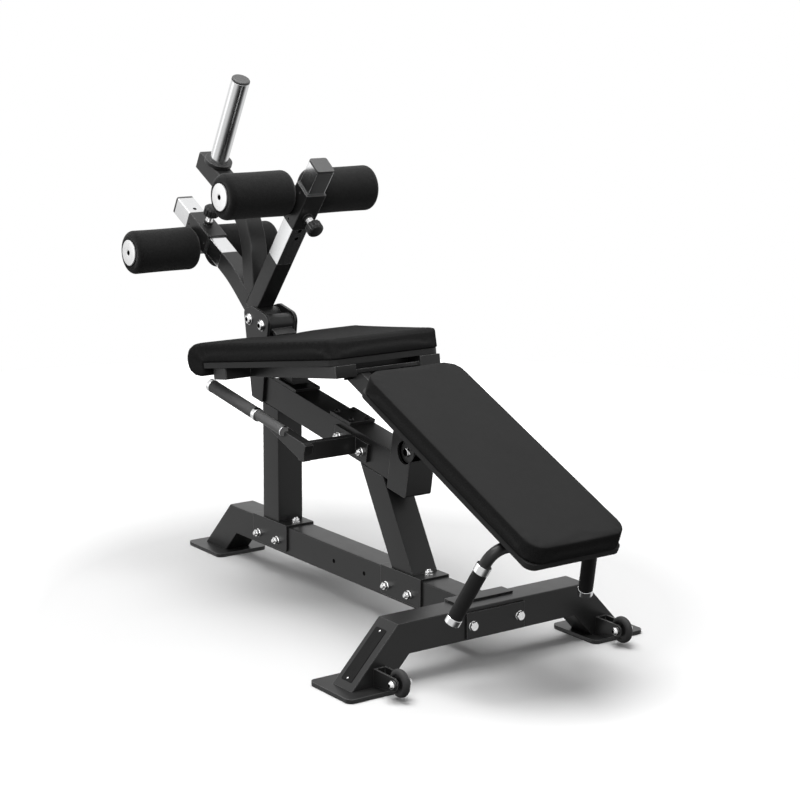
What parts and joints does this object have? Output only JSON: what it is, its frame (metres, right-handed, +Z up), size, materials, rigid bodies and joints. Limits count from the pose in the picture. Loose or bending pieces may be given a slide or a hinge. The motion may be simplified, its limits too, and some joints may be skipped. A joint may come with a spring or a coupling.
{
  "type": "adjustable weight bench",
  "caption": "Abdominal bench with a wedge seat, a declined back pad with a U handle, and a swinging leg lever with foam rollers and a weight horn.",
  "frame": {"origin": "on the floor, midway along the bench's whole length and across it", "axes": "+X along the bench towards the low end of the back pad and the wheels, +Y across it, +Z up"},
  "size_m": [1.7404, 0.872, 1.3133],
  "materials": {
    "black_paint": "satin",
    "chrome_plate": "polished",
    "axle_alloy": "satin",
    "black_rubber": "matte",
    "foam_roller": "matte",
    "pad_vinyl": "satin",
    "pad_board": "matte",
    "plastic_cap": "satin"
  },
  "bodies": {
    "frame": {"rear_foot_pad": "black_rubber", "rear_foot_plate": "black_paint", "left_foot_pad": "black_rubber", "left_foot_plate": "black_paint", "right_foot_pad": "black_rubber", "right_foot_plate": "black_paint", "lower_beam": "black_paint", "front_crossbar": "black_paint", "beam_end_flange": "black_paint", "crossbar_clamp_plate": "black_paint", "rear_saddle": "black_paint", "front_saddle": "black_paint", "rear_upright": "black_paint", "front_upright": "black_paint", "upper_beam": "black_paint", "beam_top_plate": "black_paint", "pivot_plate_left": "black_paint", "pivot_plate_right": "black_paint", "seat_hanger": "black_paint", "lever_pivot_bolt": "chrome_plate", "spacer_bolt": "chrome_plate", "seat_cushion": "pad_vinyl", "seat_board": "pad_board", "seat_frame": "black_paint", "seat_post": "black_paint", "front_bracket": "black_paint", "hinge_boss": "black_paint", "backrest_hinge_bolt": "chrome_plate", "side_handle": "black_paint", "side_handle_grip": "black_rubber", "wheel_fork_left": "black_paint", "wheel_fork_right": "black_paint"},
    "lever": {"lever_pivot_sleeve": "black_paint", "front_arm": "black_paint", "rear_arm": "black_paint", "middle_arm": "black_paint", "weight_horn": "chrome_plate", "weight_horn_cap": "plastic_cap", "upper_slide_tube": "chrome_plate", "upper_slide_cap": "plastic_cap", "lower_slide_tube": "chrome_plate", "lower_slide_cap": "plastic_cap"},
    "upper_carrier": {"upper_roller_carrier": "black_paint", "upper_roller_axle": "axle_alloy"},
    "upper_pin": {"upper_pull_pin": "plastic_cap"},
    "upper_roller_left": {"upper_roller_left": "foam_roller"},
    "upper_roller_right": {"upper_roller_right": "foam_roller"},
    "lower_carrier": {"lower_roller_carrier": "black_paint", "lower_roller_axle": "axle_alloy"},
    "lower_pin": {"lower_pull_pin": "plastic_cap"},
    "lower_roller_left": {"lower_roller_left": "foam_roller"},
    "lower_roller_right": {"lower_roller_right": "foam_roller"},
    "backrest": {"backrest_cushion": "pad_vinyl", "backrest_board": "pad_board", "backrest_frame": "black_paint", "u_handle": "black_paint", "handle_grip_left": "black_rubber", "handle_grip_right": "black_rubber"},
    "wheel_left": {"wheel_left": "black_rubber"},
    "wheel_right": {"wheel_right": "black_rubber"}
  },
  "joints": [
    {"name": "lever_tilt", "type": "hinge", "parent": "frame", "child": "lever", "pos_m": [-0.43546, 0, 0.68], "axis": [0, 1, 0], "range_deg": [0, 30]},
    {"name": "upper_carrier_slide", "type": "slide", "parent": "lever", "child": "upper_carrier", "axis": [0.6088, 0, 0.7934], "range_m": [-0.12, 0.065]},
    {"name": "upper_pin_pull", "type": "slide", "parent": "upper_carrier", "child": "upper_pin", "axis": [0.7934, 0, -0.6088], "range_m": [0, 0.01], "stiffness_N_per_m": 1500, "springref_m": -0.005},
    {"name": "upper_roller_left_spin", "type": "hinge", "parent": "upper_carrier", "child": "upper_roller_left", "pos_m": [-0.27651, -0.131, 1.02628], "axis": [0, 1, 0], "continuous": true},
    {"name": "upper_roller_right_spin", "type": "hinge", "parent": "upper_carrier", "child": "upper_roller_right", "pos_m": [-0.27651, 0.131, 1.02628], "axis": [0, 1, 0], "continuous": true},
    {"name": "lower_carrier_slide", "type": "slide", "parent": "lever", "child": "lower_carrier", "axis": [-0.8788, 0, 0.4772], "range_m": [-0.068, 0.072]},
    {"name": "lower_pin_pull", "type": "slide", "parent": "lower_carrier", "child": "lower_pin", "axis": [0.4772, 0, 0.8788], "range_m": [0, 0.01], "stiffness_N_per_m": 1500, "springref_m": -0.005},
    {"name": "lower_roller_left_spin", "type": "hinge", "parent": "lower_carrier", "child": "lower_roller_left", "pos_m": [-0.75761, -0.131, 0.83335], "axis": [0, 1, 0], "continuous": true},
    {"name": "lower_roller_right_spin", "type": "hinge", "parent": "lower_carrier", "child": "lower_roller_right", "pos_m": [-0.75761, 0.131, 0.83335], "axis": [0, 1, 0], "continuous": true},
    {"name": "backrest_tilt", "type": "hinge", "parent": "frame", "child": "backrest", "pos_m": [0.25254, 0, 0.449], "axis": [0, -1, 0], "range_deg": [0, 20]},
    {"name": "wheel_left_spin", "type": "hinge", "parent": "frame", "child": "wheel_left", "pos_m": [0.63954, -0.328, 0.0405], "axis": [0, 1, 0], "continuous": true},
    {"name": "wheel_right_spin", "type": "hinge", "parent": "frame", "child": "wheel_right", "pos_m": [0.63954, 0.328, 0.0405], "axis": [0, 1, 0], "continuous": true}
  ]
}
